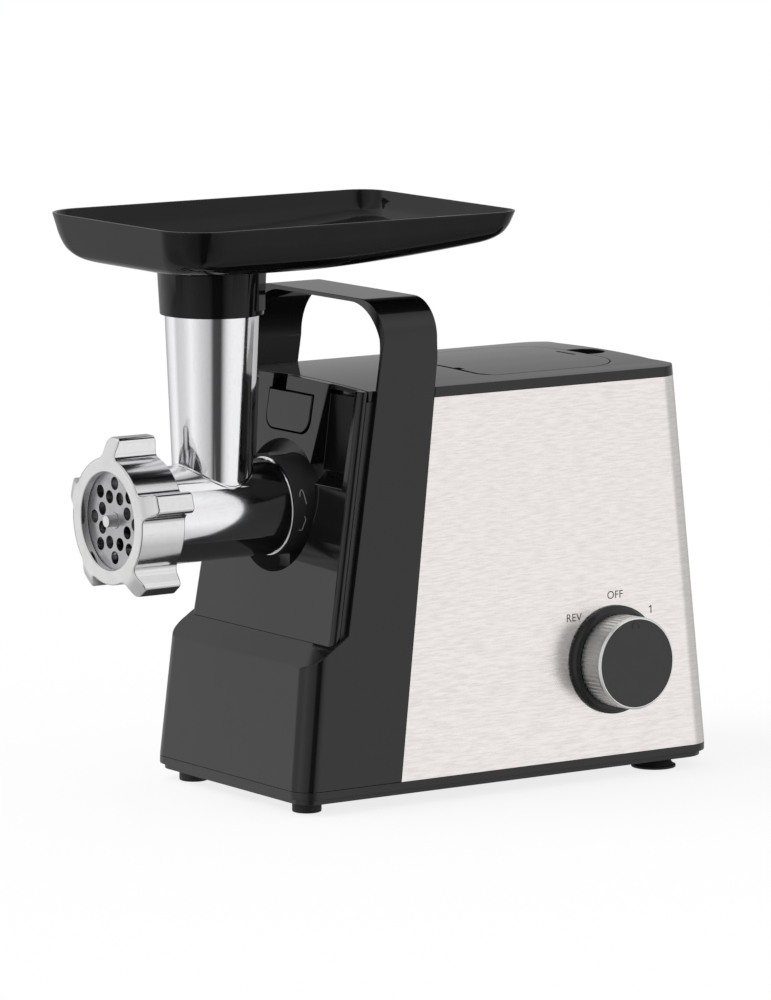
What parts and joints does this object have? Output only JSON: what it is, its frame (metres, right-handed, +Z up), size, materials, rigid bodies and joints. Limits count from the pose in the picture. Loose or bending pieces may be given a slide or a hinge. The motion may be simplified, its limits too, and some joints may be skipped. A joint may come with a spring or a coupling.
{
  "type": "electric meat grinder",
  "caption": "Upright electric meat grinder: hopper tray on a feed tube, aluminium head with auger, knife and plate, geared motor in a steel-wrapped housing with a carrying strap.",
  "frame": {"origin": "middle of the bounding box, on the table", "axes": "+Z up, -Y towards the grinding head, +X towards the side with the switch knob"},
  "size_m": [0.1896, 0.4, 0.3555],
  "materials": {
    "black_gloss": "piano-black moulding with a soft edge shine",
    "tray_gloss": "glossy black tray with a thin bright rim",
    "black_moulding": "satin black moulding",
    "brushed_panel": "stainless steel, brushed along its length",
    "cast_aluminium": "polished aluminium casting",
    "ring_aluminium": "polished ring with a satin front face",
    "auger_aluminium": "cast auger with a worn flight",
    "plate_steel": "ground stainless plate",
    "knife_steel": "ground knife steel",
    "knob_metal": "knurled bright skirt",
    "knob_cap": "dark cap",
    "foot_rubber": "black rubber",
    "screw_steel": "zinc-plated steel",
    "spring_steel": "spring wire",
    "bush_bronze": "sintered bronze",
    "natural_nylon": "natural nylon with a film of grease",
    "switch_body": "dark grey switch moulding",
    "stator_steel": "stacked electrical sheet",
    "copper_wire": "lacquered copper wire",
    "shaft_steel": "ground steel",
    "commutator_copper": "turned copper",
    "fan_plastic": "dark blue moulding",
    "bracket_metal": "zinc-plated sheet",
    "holder_phenolic": "brown phenolic",
    "carbon": "carbon block",
    "gearbox_casting": "raw die casting"
  },
  "bodies": {
    "housing": {"base_plate": "black_moulding", "front_feet": "foot_rubber", "rear_feet": "foot_rubber", "base_screws": "screw_steel", "front_housing": "black_gloss", "front_fascia": "black_gloss", "inner_housing": "black_moulding", "steel_wrap": "brushed_panel", "top_cover": "black_gloss", "lid_hinge_pin": "screw_steel", "storage_tub": "black_moulding", "head_socket": "black_moulding", "socket_screws": "screw_steel", "knob_flange": "black_moulding", "rotary_switch": "switch_body", "motor_stator": "stator_steel", "field_coils": "copper_wire", "motor_bearings": "shaft_steel", "front_bracket": "bracket_metal", "rear_bracket": "bracket_metal", "brush_holders": "holder_phenolic", "carbon_brushes": "carbon", "gearbox_case": "gearbox_casting", "gearbox_cover": "gearbox_casting", "gearbox_screws": "screw_steel", "output_bush": "bush_bronze", "gear_bushes": "bush_bronze", "cord_gland": "black_moulding"},
    "storage_lid": {"storage_lid": "black_gloss"},
    "release_button": {"release_button": "black_gloss", "button_spring": "spring_steel"},
    "head": {"grinder_head": "cast_aluminium", "auger_bush": "bush_bronze"},
    "drive": {"auger": "auger_aluminium", "drive_coupling": "natural_nylon", "cross_knife": "knife_steel", "output_spindle": "shaft_steel", "output_gear": "natural_nylon"},
    "plate": {"grinding_plate": "plate_steel"},
    "ring": {"locking_ring": "ring_aluminium"},
    "tray": {"hopper_tray": "tray_gloss"},
    "knob": {"knob_skirt": "knob_metal", "knob_face": "knob_cap", "switch_shaft": "natural_nylon"},
    "rotor": {"rotor_core": "stator_steel", "rotor_windings": "copper_wire", "rotor_shaft": "shaft_steel", "commutator": "commutator_copper", "motor_fan": "fan_plastic", "motor_pinion": "shaft_steel"},
    "first_stage": {"first_gear": "natural_nylon", "first_pinion": "shaft_steel", "first_shaft": "shaft_steel"},
    "second_stage": {"second_gear": "natural_nylon", "second_pinion": "shaft_steel", "second_shaft": "shaft_steel"}
  },
  "joints": [
    {"name": "motor_spin", "type": "hinge", "parent": "housing", "child": "rotor", "pos_m": [-0.01105, 0.03525, 0.07978], "axis": [0, 1, 0], "continuous": true},
    {"name": "first_stage_spin", "type": "hinge", "parent": "housing", "child": "first_stage", "pos_m": [-0.01836, -0.02475, 0.11196], "axis": [0, 1, 0], "continuous": true},
    {"name": "second_stage_spin", "type": "hinge", "parent": "housing", "child": "second_stage", "pos_m": [0.0152, -0.03475, 0.13133], "axis": [0, 1, 0], "continuous": true},
    {"name": "auger_spin", "type": "hinge", "parent": "housing", "child": "drive", "pos_m": [-0.01105, -0.11475, 0.1768], "axis": [0, 1, 0], "continuous": true},
    {"name": "head_twist", "type": "hinge", "parent": "housing", "child": "head", "pos_m": [-0.01105, -0.11475, 0.1768], "axis": [0, 1, 0], "range_deg": [0, 35]},
    {"name": "plate_slide", "type": "slide", "parent": "head", "child": "plate", "axis": [0, -1, 0], "range_m": [0, 0.012]},
    {"name": "ring_turn", "type": "hinge", "parent": "plate", "child": "ring", "pos_m": [-0.01105, -0.18475, 0.1768], "axis": [0, -1, 0], "range_deg": [0, 1080]},
    {"name": "tray_lift", "type": "slide", "parent": "head", "child": "tray", "axis": [0, 0, 1], "range_m": [0, 0.03]},
    {"name": "release_press", "type": "slide", "parent": "housing", "child": "release_button", "axis": [0, 1, 0], "range_m": [0, 0.003], "stiffness_N_per_m": 500, "springref_m": -0.002},
    {"name": "knob_turn", "type": "hinge", "parent": "housing", "child": "knob", "pos_m": [0.07003, 0.11745, 0.0744], "axis": [0.9994, 0, 0.034], "range_deg": [-45, 45]},
    {"name": "lid_hinge", "type": "hinge", "parent": "housing", "child": "storage_lid", "pos_m": [-0.01105, 0.04025, 0.2514], "axis": [1, 0, 0], "range_deg": [0, 75]}
  ],
  "couplings": [
    {"joint": "first_stage_spin", "follows": "motor_spin", "ratio": -0.22222},
    {"joint": "second_stage_spin", "follows": "motor_spin", "ratio": 0.053333},
    {"joint": "auger_spin", "follows": "motor_spin", "ratio": -0.013333},
    {"joint": "plate_slide", "follows": "ring_turn", "m_per_rad": 0.00063662}
  ]
}
